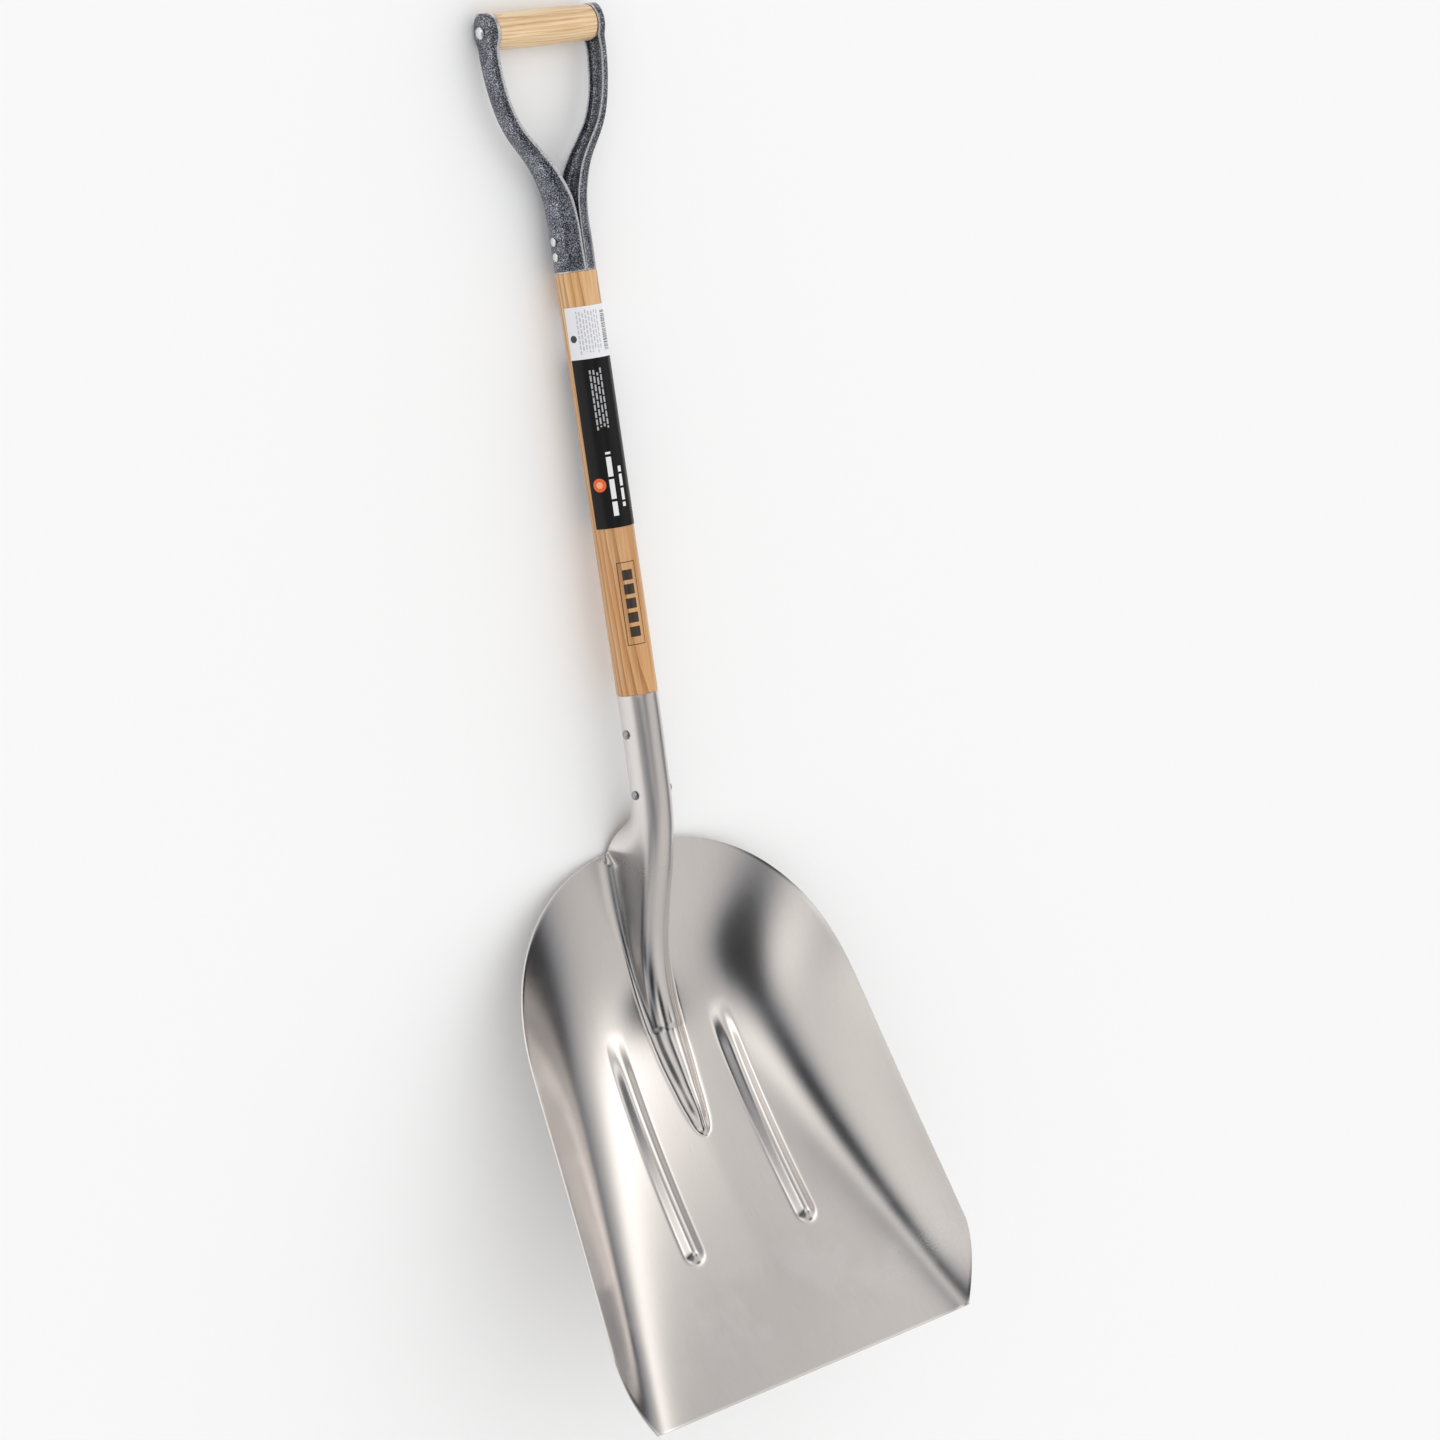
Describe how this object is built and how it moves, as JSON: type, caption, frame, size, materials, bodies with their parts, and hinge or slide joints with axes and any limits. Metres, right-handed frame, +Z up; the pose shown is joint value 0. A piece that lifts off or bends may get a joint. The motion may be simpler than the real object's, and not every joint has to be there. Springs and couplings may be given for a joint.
{
  "type": "snow shovel",
  "caption": "Wide aluminium scoop with raised side walls, stiffening beads and a rolled socket, on a straight ash shaft with a riveted steel D-grip and a turned wooden hand grip.",
  "frame": {"origin": "middle of the bounding box's footprint on the ground, where the scoop lies on the heel of its blade and on the two eyes of its D-grip, open side up", "axes": "+Y from the hand grip towards the blade's front lip, +X to the right of a person who looks along +Y, +Z up"},
  "size_m": [0.4292, 1.2848, 0.2036],
  "materials": {
    "blade_aluminium": "satin rolled sheet, light warm grey, soft reflections, faint scuffs on the floor",
    "shaft_wood": "clear-lacquered pale ash, long orange-brown grain streaks",
    "grip_wood": "clear-lacquered pale turned ash, fine lengthwise grain",
    "grip_paint": "charcoal hammertone paint on pressed steel, fine speckle, semi-gloss",
    "bright_rivet": "bright zinc-plated domed heads",
    "dull_rivet": "dull plated domed heads",
    "label_film": "printed gloss film, black with a white end band, no lettering"
  },
  "bodies": {
    "root": {"blade": "blade_aluminium", "shaft": "shaft_wood", "grip_arm_left": "grip_paint", "grip_arm_right": "grip_paint", "hand_grip": "grip_wood", "grip_rivet": "bright_rivet", "collar_rivet_lower": "bright_rivet", "collar_rivet_upper": "bright_rivet", "socket_rivet_upper": "dull_rivet", "socket_rivet_lower": "dull_rivet", "label": "label_film"}
  },
  "joints": []
}
